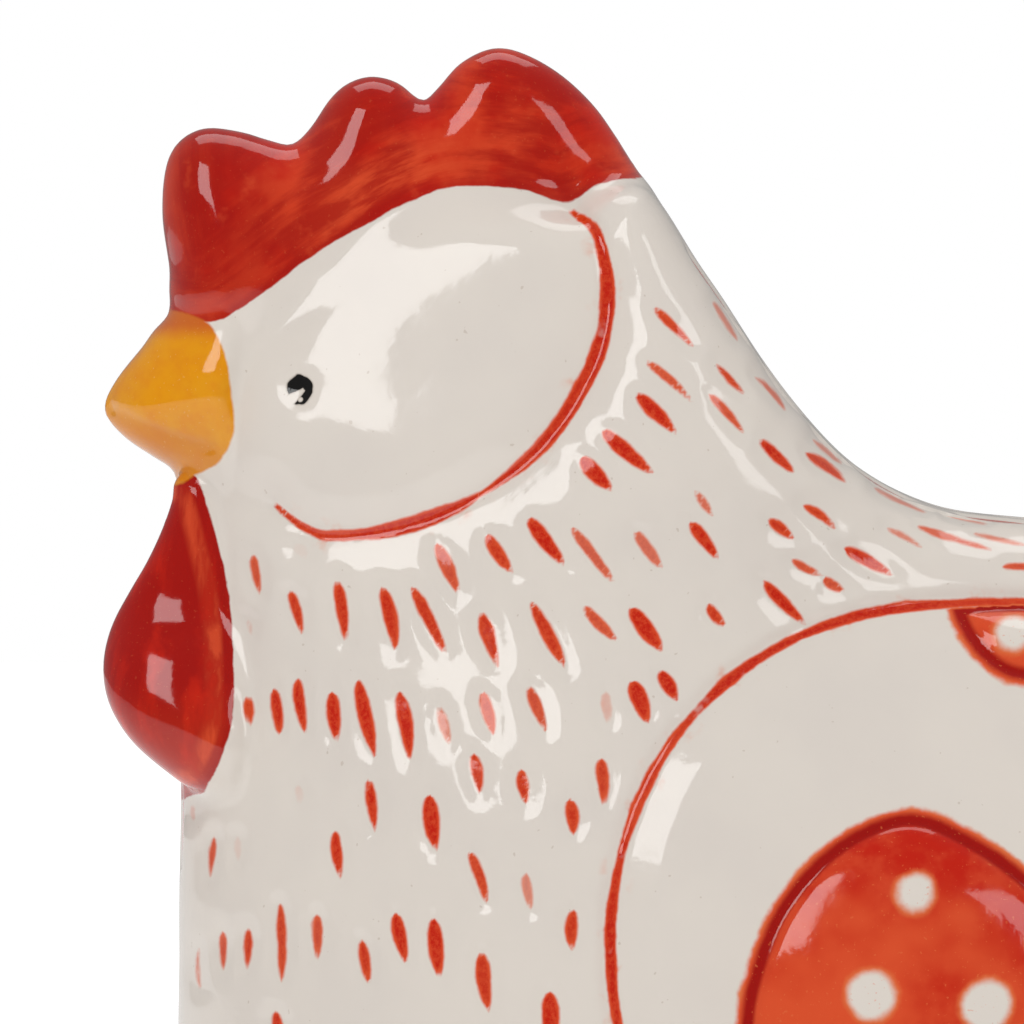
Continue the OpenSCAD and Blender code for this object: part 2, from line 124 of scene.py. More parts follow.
COMB_PAINT = [(-92, 150), (-87.7, 146.7), (-83.5, 146.3), (-80.4, 147.1), (-75.2, 150.8), (-70, 154.7),
              (-64.8, 157.6), (-59.3, 160.6), (-53.5, 162.4), (-46, 162.2), (-40.6, 161.5),
              (-36.6, 163), (-31.4, 163.6), (-26, 164), (-30, 176), (-48, 184), (-80, 184), (-94, 172)]
BEAK_PAINT = [(-98, 148), (-88.5, 147.6), (-85.4, 147.2), (-82.6, 145.2), (-81, 141.4), (-80.5, 137.6),
              (-80.2, 133), (-82, 129.4), (-84.8, 127.9), (-88, 126.6), (-98, 128)]
WATTLE_PAINT = [(-86.6, 127.9), (-85.1, 127.9), (-83.8, 125.7), (-82, 119), (-81, 114.8), (-80.4, 110),
                (-80.2, 102.2), (-80.6, 97), (-83, 91.3), (-85.6, 89.2), (-99, 88), (-99, 126)]
MAIN_PATCH = [(-20, 62), (-17, 73.2), (-12.2, 80.4), (-6.2, 85.2), (1, 87.4), (8, 85), (16, 79.5),
              (24, 71), (27, 61), (24, 50), (14, 43.5), (2, 41.5), (-10, 43.5), (-18, 51)]

SMALL_PATCH = [(16, 101.6), (20.8, 103), (24.4, 106.4), (26.4, 111), (25.6, 113), (16, 113.6),
               (6.4, 113), (5.6, 110.6), (7.6, 106), (11.4, 102.6)]
REAR_PATCH = [(50, 99), (55.4, 97), (58.6, 91.4), (58, 85.6), (53.4, 81.4), (47, 81), (41.8, 84.6),
              (40.2, 90.6), (43, 96.8)]
LOW_PATCH = [(42, 70), (47, 67.6), (48.6, 62), (45.4, 56.6), (39.6, 54.6), (34.4, 57.6), (33.4, 63.6),
             (36.6, 68.6)]
# White dots left in the painted patches: (x, z, radius)
DOTS = [(1.6, 76.8, 2.3), (-3.8, 64.8, 3), (10, 63.6, 3), (-12.5, 57, 2.4), (3.2, 53, 2.8),
        (17.2, 71.4, 2.2), (18.6, 57.6, 2.6), (10.4, 47, 1.8), (13.2, 108, 2.4), (20.8, 108.6, 2),
        (49, 92.4, 2.2), (53.8, 87, 2), (45.6, 86, 1.9), (40.4, 64, 2), (43, 59, 1.8)]

# How wide the cheek's brush stroke is along its way: (degrees round the cheek's centre, half width)
CHEEK_STROKE = [(-135, 0.05), (-128, 0.25), (-118, 0.45), (-106, 0.6), (-97, 0.85), (-86, 0.8),
                (-78, 0.55), (-72, 0.25), (-64, 0.5), (-45, 0.75), (-20, 0.85), (5, 0.78), (20, 0.6),
                (33, 0.4), (40, 0.1)]
# How far the tail's red edge reaches in from its outline
TAIL_PAINT = 5.5

# The parting of the beak, and the grooves between the tail's lobes
BEAK_PARTING = [(-94.9, 135.6), (-90, 133.2), (-85, 131.4), (-80.6, 130.6)]
TAIL_GROOVES = [[(89.5, 124), (80, 121.6), (66, 118)], [(89.5, 100.6), (80, 101.8), (68, 104)]]

# Feather marks on the head, neck and breast:
# (x, z) of the top, (x, z) of the lower tip, width, strength of the paint
MARKS = [
    # the back of the neck
    (-22.4, 148.8, -19.6, 144.2, 0.6, 0.6), (-29.7, 148.1, -25, 143.4, 1.1, 0.9),
    (-22.2, 141.3, -18.9, 137.8, 0.9, 0.9), (-30.8, 141.7, -25, 136.6, 1.0, 0.8),
    (-17.5, 139.8, -13.8, 135.8, 0.7, 0.7), (-23, 137.6, -18.9, 133, 1.0, 0.8),
    (-32, 137.8, -27, 132.8, 1.8, 1), (-36, 133.4, -29.9, 128.1, 2.0, 1),
    (-38.7, 130.2, -34.8, 126, 2.1, 1), (-17, 132.3, -12.9, 128.3, 1.5, 1),
    (-10.5, 132.3, -7.1, 129.5, 0.5, 0.6), (-11.4, 130.7, -6.5, 127.1, 1.2, 0.9),
    (-3.1, 126.5, 3, 123.6, 0.5, 0.6), (5.4, 123.3, 10.2, 122.2, 0.4, 0.6),
    (-24.8, 126, -22.7, 123, 1.1, 0.7), (-15.9, 122.6, -12.9, 120.2, 1.4, 0.9),
    (-11.7, 124.3, -7.9, 121.6, 1.0, 0.9), (-1.6, 121.6, 2.5, 119.3, 0.7, 0.6),
    (2.1, 121.9, 10.7, 119.1, 0.8, 0.75), (8.7, 121.1, 14.6, 119.7, 0.5, 0.6),
    (-6.7, 119.1, -1.1, 116, 1.7, 1), (12.2, 117, 17, 116.6, 1.0, 0.8),
    (-13.1, 117.7, -9.7, 115.9, 1.0, 0.8), (-9.4, 115.6, -6.8, 113.9, 1.3, 0.8),
    (-16.5, 115.1, -11.5, 110.1, 1.6, 1), (-25.4, 122.2, -22, 117.7, 1.7, 1),
    (-23.3, 112.4, -21.1, 109.7, 1.4, 0.9),
    # under the cheek
    (-78.2, 118.1, -77.3, 113.7, 1.1, 0.8), (-56.1, 119.7, -53.3, 113.6, 1.7, 0.8),
    (-50, 120.8, -46.8, 116.1, 1.6, 0.9), (-44.9, 122.7, -40.5, 117, 2.0, 1),
    (-39.6, 121.5, -34.5, 114.9, 1.4, 0.75), (-32, 121.1, -28.8, 116.7, 1.5, 0.7),
    (-73.6, 113.8, -72.2, 108.7, 1.4, 0.9), (-68, 115.1, -66.9, 108, 1.6, 0.95),
    (-62.5, 114.4, -60.9, 107, 1.8, 0.95), (-58.9, 114.4, -54.9, 106.4, 1.7, 0.9),
    (-50.6, 111.4, -48.6, 105, 1.8, 0.9), (-44.5, 112.6, -40.3, 104.6, 1.7, 0.9),
    (-38.2, 112.1, -34.2, 108, 1.3, 0.8), (-32.6, 112, -28.8, 106.8, 2.1, 1),
    (-78.9, 110.7, -78.3, 108.6, 0.6, 0.35), (-73.6, 119.4, -72, 118, 1.2, 0.12),
    # the breast
    (-78.5, 101.3, -78.3, 97.7, 1.1, 0.9), (-75.6, 102.2, -74.9, 96.8, 1.5, 1),
    (-72.7, 103.3, -71.8, 97, 1.5, 1), (-68.6, 101.8, -68, 95.7, 1.8, 1),
    (-65.4, 103.3, -63.3, 93.8, 1.8, 1), (-60.5, 101.9, -59.2, 93.8, 1.8, 1),
    (-55.7, 100, -54.4, 95.6, 1.2, 0.6), (-50.4, 101.8, -49, 96.6, 1.5, 0.8),
    (-44.9, 102.6, -42.8, 97.2, 1.5, 0.8), (-35.7, 102, -35.2, 97.8, 1.2, 0.4),
    (-32.4, 103.2, -30.5, 98.2, 2.1, 1), (-29, 104.4, -26.9, 100.8, 1.9, 1),
    (-51.6, 94.5, -50.7, 89.4, 1.5, 0.9), (-45.8, 92.4, -45.1, 88.4, 1.5, 0.9),
    (-39.8, 88.9, -39.5, 84.6, 1.6, 0.9), (-36.2, 93.9, -35.8, 88.3, 1.6, 0.85),
    (-64.2, 91.4, -63.4, 85, 1.4, 1), (-56.9, 89.4, -56.1, 82.7, 2.1, 1),
    (-68.2, 85, -67.6, 79.3, 1.4, 1), (-82.8, 84.4, -83.3, 79.3, 0.8, 0.8),
    (-80, 84.3, -79.9, 81.6, 0.6, 0.2), (-85.4, 88.1, -85.3, 86.4, 0.5, 0.4),
    (-72.7, 90.4, -72.5, 88.3, 0.8, 0.2), (-52, 82.5, -49.9, 76.5, 1.5, 0.85),
    (-45.3, 80, -44.6, 75.6, 1.1, 0.6), (-39.5, 75.6, -39.6, 70.7, 1.6, 0.9),
    (-84.7, 70.9, -84.5, 66.1, 0.6, 0.6), (-81.8, 72.8, -81.8, 68.3, 1.0, 0.8),
    (-78.7, 73.2, -78.9, 68.5, 1.1, 0.9), (-74.9, 76.2, -74.7, 66.8, 1.3, 0.85),
    (-70.4, 74.9, -70.4, 69.7, 1.3, 0.8), (-65, 71.8, -64.1, 66.5, 1.4, 0.9),
    (-61, 75.1, -59.7, 69.1, 1.7, 1), (-56.4, 74.6, -55.7, 67.5, 2.0, 1),
    (-50.6, 70.4, -49.7, 63.3, 1.9, 0.9), (-42.4, 65.6, -42.3, 58.5, 2.3, 1),
    (-75.4, 63.3, -75.5, 58.5, 1.4, 1)]


def curve_through(points, steps=6, closed=True):
    """A Catmull-Rom curve through the points."""
    p = np.array(points, float)
    last = len(p) - 1
    index = np.arange(len(p) if closed else last)
    knots = [p[(index + k) % len(p)] if closed else p[np.clip(index + k, 0, last)] for k in (-1, 0, 1, 2)]
    a, b, c, d = knots
    rows = [0.5 * (2 * b + (c - a) * t + (2 * a - 5 * b + 4 * c - d) * t**2 + (3 * b - a - 3 * c + d) * t**3)
            for t in np.linspace(0, 1, steps, endpoint=False)]
    curve = np.stack(rows, 1).reshape(-1, p.shape[1])
    return curve if closed else np.vstack([curve, p[-1]])


def to_line(x, z, line, closed=False):
    """Distance from each place to a line of points, and whether the closed line surrounds it."""
    nearest = np.full(x.shape, 1e12)
    inside = np.zeros(x.shape, bool)
    ends = np.roll(line, -1, 0) if closed else line[1:]
    for a, b in zip(line, ends):
        run = b - a
        t = np.clip(((x - a[0]) * run[0] + (z - a[1]) * run[1]) / (run @ run), 0, 1)
        np.minimum(nearest, (x - a[0] - t * run[0])**2 + (z - a[1] - t * run[1])**2, out=nearest)
        if run[1] != 0:
            inside ^= ((a[1] > z) != (b[1] > z)) & (x < a[0] + (z - a[1]) * run[0] / run[1])
    return np.sqrt(nearest), inside


def signed(x, z, points, steps=6):
    """Signed distance to a smooth closed outline: below zero inside it."""
    distance, inside = to_line(x, z, curve_through(points, steps), closed=True)
    return np.where(inside, -distance, distance)


def soft_rows(rows):
    """A smooth function through (place, value) rows."""
    table = curve_through(rows, 16, closed=False)
    return lambda v: np.interp(v, table[:, 0], table[:, 1])


def smoothstep(v, low, high):
    t = np.clip((v - low) / (high - low), 0, 1)
    return t * t * (3 - 2 * t)


def ridge(distance, width):
    """A soft bump across a line."""
    return np.exp(-(distance / width)**2)


class Outline:
    """Signed distance to an outline, worked out once on a grid and read between its points."""
    STEP = 0.75
    X0, Z0 = -112.0, -30.0
    COLUMNS, ROWS = 300, 300

    def __init__(self, points, soften=0):
        x = self.X0 + self.STEP * np.arange(self.COLUMNS)
        z = self.Z0 + self.STEP * np.arange(self.ROWS)
        gx, gz = np.meshgrid(x, z, indexing="ij")
        exact = signed(gx, gz, points)
        blurred = exact.copy()
        for _ in range(soften):
            for axis in (0, 1):
                blurred = (np.roll(blurred, 1, axis) + 2 * blurred + np.roll(blurred, -1, axis)) / 4
        depth = smoothstep(-exact, 2.0, 9.0)
        self.grid = exact + (blurred - exact) * depth

    def __call__(self, x, z):
        u = np.clip((x - self.X0) / self.STEP, 0, self.COLUMNS - 1.001)
        v = np.clip((z - self.Z0) / self.STEP, 0, self.ROWS - 1.001)
        i, j = u.astype(int), v.astype(int)
        fu, fv = u - i, v - j
        g = self.grid
        return ((g[i, j] * (1 - fu) + g[i + 1, j] * fu) * (1 - fv)
                + (g[i, j + 1] * (1 - fu) + g[i + 1, j + 1] * fu) * fv)


def puffed(depth, y, half, rim, power=2.0):
    """Distance to an outline puffed out to a half width, over a rim that rounds off like an ellipse.

    A power above 2 makes the sides flatter and the rim squarer.
    """
    a = np.abs(y) / half
    s = np.maximum(1 + depth / rim, 0)
    level = (a**power + s**power)**(1 / power)
    slope = np.sqrt((a**(power - 1) / half)**2 + (s**(power - 1) / rim)**2)
    return level**(power - 1) * (level - 1) / np.maximum(slope, 1e-6)


def join(a, b, blend):
    """The union of two distances, with a fillet."""
    h = np.clip(0.5 + 0.5 * (b - a) / blend, 0, 1)
    return b + (a - b) * h - blend * h * (1 - h)


def cut(a, b, blend):
    """The part of a that isn't below zero in minus b, with a rounded edge."""
    return -join(-a, -b, blend)


body_outline = Outline(BODY, soften=40)
comb_outline = Outline(COMB, soften=40)
beak_outline = Outline(BEAK)
wattle_outline = Outline(WATTLE, soften=8)
tail_outline = Outline(TAIL, soften=8)

breast_half = soft_rows([(-20, 41), (0, 42), (4, 43.4), (12, 44.6), (30, 45.2), (48, 44.6), (62, 43.2),
                         (76, 40.8), (84, 38.8), (92, 36.4), (100, 33.4), (108, 29.8), (116, 26.8),
                         (124, 25.8), (132, 24.2), (140, 21.4), (150, 18.2), (160, 16), (172, 14),
                         (190, 11)])
rump_half = soft_rows([(-20, 41), (0, 42), (4, 43.4), (12, 44.6), (30, 45.3), (48, 44.8), (62, 43.2),
                       (76, 40.8), (90, 37.4), (103, 33.8), (118, 30), (130, 28), (140, 27), (150, 25),
                       (172, 22), (190, 20)])
body_rim = soft_rows([(-20, 30), (0, 34), (30, 42), (60, 46), (100, 45), (118, 35), (130, 27),
                      (136, 23), (142, 19), (150, 15), (160, 12), (172, 12), (190, 12)])
beak_half = soft_rows([(-97, 0.6), (-95.3, 1.3), (-94.6, 2.8), (-93.8, 4.4), (-92, 6.8), (-90, 8.5),
                       (-87.6, 9.9), (-84.8, 11.1), (-82.4, 11.8), (-80.4, 11.6), (-77.5, 9), (-74, 5)])
beak_rim = soft_rows([(-97, 0.6), (-95.3, 1.0), (-94.6, 2.0), (-93.8, 3.0), (-92, 4.7), (-90, 6.4),
                      (-87.6, 8.7), (-84, 11), (-76, 13)])
comb_half = soft_rows([(130, 12.5), (150, 10.8), (160, 9.2), (170, 7.4), (190, 6.2)])
wattle_centre = soft_rows([(80, 10.2), (92, 9.8), (98, 9.2), (106, 7.3), (112, 6.1), (118, 5.9),
                           (130, 5.6)])
wattle_half = soft_rows([(80, 10.4), (90, 10.2), (98, 9.4), (106, 7.4), (112, 5.4), (118, 5.0),
                         (130, 4.6)])


def body(x, y, z):
    rear = smoothstep(x, -60, 5)
    half = breast_half(z) * (1 - rear) + rump_half(z) * rear
    behind_face = smoothstep(x, -86, -68)
    head = smoothstep(z, 108, 132)
    half = half * (1 - FACE_TAPER * head * np.clip((-x - 44) / 44, 0, 1)**1.7)
    half = half * (1 - BREAST_TAPER * smoothstep(-x, 20, 95))
    rim = body_rim(z) + 3 * (1 - behind_face) * head
    return puffed(body_outline(x, z), y, half, rim, 2 + 1.2 * head * behind_face)


def comb(x, y, z):
    return puffed(comb_outline(x, z), y, comb_half(z), 9)


def beak(x, y, z):
    return puffed(beak_outline(x, z), y, beak_half(x), beak_rim(x))


def wattle(x, y, z):
    return puffed(wattle_outline(x, z), np.abs(y) - wattle_centre(z), wattle_half(z), 10)


def tail(x, y, z):
    half = 9 + 4 * smoothstep(-x, -80, -45)
    return puffed(tail_outline(x, z), y, half, 9)


def skin(x, y, z):
    """Distance to the outside of the casting, before anything is pressed into it."""
    d = join(body(x, y, z), comb(x, y, z), 4.5)
    d = join(d, beak(x, y, z), 2.5)
    d = join(d, wattle(x, y, z), 1.4)
    d = join(d, tail(x, y, z), 9)
    return cut(d, -z, 3)


def casting(x, y, z):
    """Distance to the whole hollow casting, with its round opening in the floor."""
    hollow = np.maximum(body(x, y, z) + WALL, FLOOR - z)
    opening = np.maximum(np.hypot(x - OPENING_X, y) - OPENING_R, z - FLOOR - 3)
    return np.maximum(np.maximum(skin(x, y, z), -hollow), -opening)


def in_slices(function, p):
    return function(p[:, 0], p[:, 1], p[:, 2])


def slope(function, p, h=0.05):
    """The unit outward direction, and the length of the gradient."""
    g = np.stack([(in_slices(function, p + h * axis) - in_slices(function, p - h * axis)) / (2 * h)
                  for axis in np.eye(3)], 1)
    length = np.linalg.norm(g, axis=1)
    return g / length[:, None], length


def settle(p, rounds=3):
    """Moves points onto the skin."""
    for _ in range(rounds):
        normal, length = slope(skin, p)
        move = np.clip(in_slices(skin, p) / length, -0.6, 0.6)
        p = p - normal * move[:, None]
    return p


def mesh_of_casting():
    """Points and quads of the casting from a distance grid, the same on both sides of Y = 0."""
    low, high = np.array([-98.0, 0.0, -3.0]), np.array([98.0, 52.0, 182.0])
    x, y, z = (np.arange(a, b, VOXEL) for a, b in zip(low, high))
    gx, gy, gz = np.meshgrid(x, y, z, indexing="ij")
    half = casting(gx.ravel(), gy.ravel(), gz.ravel()).reshape(gx.shape)
    whole = np.concatenate([half[:, :0:-1], half], axis=1).astype(np.float32)
    grid = openvdb.FloatGrid(3 * VOXEL)
    grid.copyFromArray(np.clip(whole, -3 * VOXEL, 3 * VOXEL))
    points, quads = grid.convertToQuads(0.0)
    origin = np.array([low[0], -(len(y) - 1) * VOXEL, low[2]])
    return points * VOXEL + origin, quads


def is_outer(p):
    return (np.abs(in_slices(skin, p)) < 0.8 * VOXEL) & (p[:, 2] > 1.0)


def fine_mesh():
    """The casting's mesh in millimetres, twice as fine outside as it is inside."""
    points, quads = mesh_of_casting()
    outer = is_outer(points)
    points[outer] = settle(points[outer])
    from_opening = np.hypot(points[:, 0] - OPENING_X, points[:, 1])
    bore = (np.abs(from_opening - OPENING_R) < 0.9) & (points[:, 2] < FLOOR)
    radial = points[bore, :2] - (OPENING_X, 0)
    points[bore, :2] = radial / np.linalg.norm(radial, axis=1)[:, None] * OPENING_R + (OPENING_X, 0)
    mesh = bpy.data.meshes.new("hen")
    mesh.from_pydata(points, [], quads[:, ::-1].tolist())
    bm = bmesh.new()
    bm.from_mesh(mesh)
    bm.verts.ensure_lookup_table()
    edges = [e for e in bm.edges if outer[e.verts[0].index] and outer[e.verts[1].index]]
    bmesh.ops.subdivide_edges(bm, edges=edges, cuts=1, use_grid_fill=True)
    bm.to_mesh(mesh)
    bm.free()
    return mesh


def coordinates(mesh):
    flat = np.empty(len(mesh.vertices) * 3)
    mesh.vertices.foreach_get("co", flat)
    return flat.reshape(-1, 3)


def as_drawn(p):
    """Where each point falls on the drawing plane. Both sides of the hen carry the same drawing."""
    y = -np.abs(p[:, 1])
    k = -EYE_POINT[1] / (y - EYE_POINT[1])
    return EYE_POINT[0] + (p[:, 0] - EYE_POINT[0]) * k, EYE_POINT[2] + (p[:, 2] - EYE_POINT[2]) * k


def leaf(along, across, length, width):
    """Distance into a brush mark, above zero inside it: round at its top and drawn out to a tip."""
    t = np.clip(along / length, 0, 1)
    half = 0.5 * width * (t**0.5 * (1 - t)**0.75) / 0.445
    beyond = np.maximum(np.maximum(-along, along - length), 0)
    return half - np.hypot(across, beyond)


class Strokes:
    """Feather marks gathered over the skin: each point's depth in the nearest one, and its strength."""

    def __init__(self, count):
        self.depth = np.full(count, -9.0)
        self.strength = np.zeros(count)

    def add(self, rows, depth, strength):
        better = depth > self.depth[rows]
        rows = rows[better]
        self.depth[rows] = depth[better]
        self.strength[rows] = strength


def drawn_marks(strokes, u, w, side):
    """The marks that were drawn, on both sides, a little out of step with each other."""
    for x0, z0, x1, z1, width, strength in MARKS:
        for flank in (-1, 1):
            shift = rng.normal(0, 0.9, 2) * (flank > 0)
            ax, az = x0 + shift[0], z0 + shift[1]
            dx, dz = x1 - x0, z1 - z0
            length = math.hypot(dx, dz)
            dx, dz = dx / length, dz / length
            rows = np.nonzero((side == flank) & (np.abs(u - ax - dx * length / 2) < length / 2 + 3)
                              & (np.abs(w - az - dz * length / 2) < length / 2 + 3))[0]
            ru, rw = u[rows] - ax, w[rows] - az
            along, across = ru * dx + rw * dz, rw * dx - ru * dz
            share = np.clip(along / length, 0, 1)
            bend = 0.12 * rng.normal() * share * (1 - share) * 4
            strokes.add(rows, leaf(along, across + bend, length, width), strength)


def flow(x, z):
    """The way that the feathers lie: down the breast, and back along the neck and the body."""
    back = (smoothstep(x, -45, 10) * smoothstep(z, 60, 118))[:, None]
    return np.array([0.15, 0.0, -1.0]) * (1 - back) + np.array([1.0, 0.0, -0.35]) * back


def scattered_marks(strokes, p, normal, free):
    """More marks where the drawing doesn't reach, in loose rows, each lying along the feathers."""
    candidates = rng.permutation(np.nonzero(free)[0])[:CANDIDATES]
    centres = np.empty((0, 3))
    lean = flow(p[:, 0], p[:, 2])
    for row in candidates:
        away = (centres - p[row]) / MARK_SPACING
        if len(centres) and (away**2).sum(1).min() < 1:
            continue
        centres = np.vstack([centres, p[row]])
        n = normal[row]
        forward = lean[row] + rng.normal(0, 0.09, 3)
        forward -= n * (forward @ n)
        forward /= np.linalg.norm(forward)
        sideways = np.cross(n, forward)
        length, width, strength = rng.uniform(5, 8.5), rng.uniform(1.2, 2.0), rng.uniform(0.55, 1)
        near = np.nonzero((np.abs(p - p[row]).max(1) < length / 2 + 3) & (normal @ n > 0.3))[0]
        offset = p[near] - p[row]
        strokes.add(near, leaf(offset @ forward + length / 2, offset @ sideways, length, width), strength)


hen_mesh = fine_mesh()
p = coordinates(hen_mesh)
outer = is_outer(p)
p[outer] = settle(p[outer], 2)
normal = np.zeros_like(p)
normal[outer] = slope(skin, p[outer])[0]
u, w = as_drawn(p)


def inside_of(outline):
    """How deep inside a drawn outline each point is, above zero inside it."""
    return -signed(u, w, outline)


def from_curve(x, z, line):
    """How far each place is from a smooth line through the points."""
    return to_line(x, z, curve_through(line, 8, closed=False))[0]


comb_depth = inside_of(COMB_PAINT)
beak_depth = inside_of(BEAK_PAINT)
wattle_depth = inside_of(WATTLE_PAINT)
wing_depth = inside_of(WING)
PATCHES = (MAIN_PATCH, SMALL_PATCH, REAR_PATCH, LOW_PATCH)
WING_MARGIN = 0.6
patch_depth = np.max([inside_of(outline) for outline in PATCHES], axis=0)
within_wing = np.minimum(patch_depth, wing_depth - WING_MARGIN)
patch_depth = np.where(wing_depth > WING_MARGIN, patch_depth, within_wing)
dot_depth = np.max([r - np.hypot(u - x, w - z) for x, z, r in DOTS], axis=0)
cheek_distance = from_curve(u, w, CHEEK_LINE)
eye_distance = np.hypot(u - EYE[0], w - EYE[1])
parting_distance = from_curve(u, w, BEAK_PARTING)
tail_rim = tail_outline(p[:, 0], p[:, 2])
groove_distance = np.min([from_curve(p[:, 0], p[:, 2], line) for line in TAIL_GROOVES], axis=0)


def all_marks():
    """The drawn feather marks, and then the scattered ones in what is left free."""
    strokes = Strokes(len(p))
    side = np.where(p[:, 1] < 0, -1, 1) * outer
    in_picture = (u < 16) & (w > 57) & (np.abs(normal[:, 1]) > 0.16)
    drawn_marks(strokes, u, w, side * (np.abs(normal[:, 1]) > 0.12))
    on_face = (u < -30) & (w > 121) & (p[:, 0] < -34)
    painted = np.max([comb_depth, beak_depth, wattle_depth], axis=0)
    free = outer & ~in_picture & ~on_face & (painted < -3) & (wing_depth < -3) & (strokes.depth < -2.5)
    free &= (p[:, 2] > 7) & ((p[:, 0] < 58) | (tail_rim > 2))
    scattered_marks(strokes, p, normal, free)
    return strokes


def groove(distance, size):
    """A soft groove along a line, as deep and as wide as its size says."""
    depth, width = size
    return -depth * ridge(distance, width)


def step(depth, size, start=0.0):
    """A rounded step up to a height, over a width inside an outline."""
    height, width = size
    return height * smoothstep(depth, start, width)


def cheek_relief():
    rear = smoothstep(u, -64, -48) * smoothstep(w, 158, 148)
    return (groove(cheek_distance, CHEEK_VALLEY) + groove(cheek_distance, CHEEK_GROOVE)
            + groove(cheek_distance, CHEEK_REAR_VALLEY) * rear)


def wing_relief():
    return step(wing_depth, WING_STEP, -0.5) + groove(wing_depth + 0.5, WING_GROOVE)


def patch_relief():
    """Each painted patch stands up as a low dome inside a groove."""
    height, reach = PATCH_DOME
    dome = height * (1 - np.clip(1 - (patch_depth - 2) / reach, 0, 1)**2)
    return step(patch_depth, PATCH_STEP) + groove(patch_depth - PATCH_GROOVE_INSET, PATCH_GROOVE) + dome


def small_relief():
    """The eye's dimple, the beak's parting, the tail's grooves and a dent under each feather mark."""
    return (groove(eye_distance, EYE_DIMPLE)
            + groove(parting_distance, PARTING_GROOVE) * smoothstep(beak_depth, 0, 2)
            + groove(groove_distance, TAIL_GROOVE) * smoothstep(-tail_rim, -1, 2)
            + groove(np.maximum(-strokes.depth, 0), MARK_DENT))


strokes = all_marks()
relief = cheek_relief() + wing_relief() + patch_relief() + small_relief()
relief[~outer] = 0
p += normal * relief[:, None]
hen_mesh.vertices.foreach_set("co", (p * MM).ravel())
hen_mesh.update()
hen_mesh.shade_smooth()


def line_depth():
    """How deep inside the brushed lines of the cheek, the wing and the tail each point is."""
    cheek_turn = np.degrees(np.arctan2(w - CHEEK_CENTRE[1], u - CHEEK_CENTRE[0]))
    cheek_half = STROKE_WEIGHT * np.interp(cheek_turn, *np.transpose(CHEEK_STROKE))
    wing_half = 0.68 + 0.1 * np.sin(0.21 * u + 0.3 * w)
    tail_line = 0.7 - groove_distance - 9 * (tail_rim > -1)
    return np.max([cheek_half - cheek_distance, wing_half - np.abs(wing_depth), tail_line], axis=0)


def tail_depth():
    """The red edge of the tail's lobes, thin where the tail runs onto the body and off the wing."""
    edge = TAIL_PAINT * smoothstep(p[:, 0], 54, 74) + tail_rim - 0.3
    off_body = 3 - 2 * tail_rim
    behind = (p[:, 0] - 50) / 4
    off_wing = -0.9 - wing_depth
    return np.min([edge, off_body, behind, off_wing], axis=0)


def attribute(name, values):
    hen_mesh.attributes.new(name, "FLOAT", "POINT").data.foreach_set("value", values.astype(np.float32))


NOT_PAINTED = -9
depths = {"comb": comb_depth, "beak": beak_depth, "wattle": wattle_depth, "patch": patch_depth,
          "dot": dot_depth, "line": line_depth(), "mark": strokes.depth, "tail": tail_depth()}
for name, values in depths.items():
    attribute(name, np.where(outer, values, NOT_PAINTED))
attribute("mark_strength", strokes.strength)
attribute("drawn_x", u)
attribute("drawn_z", w)

hen = bpy.data.objects.new("hen_casting", hen_mesh)
bpy.context.scene.collection.objects.link(hen)
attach(hen, "root")
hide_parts("glazed_hen_shell")


def rgb(r, g, b):
    """An sRGB colour, 0 to 255, as the linear colour that the shader takes."""
    def linear(v):
        v /= 255
        return v / 12.92 if v <= 0.04045 else ((v + 0.055) / 1.055)**2.4
    return linear(r), linear(g), linear(b), 1.0


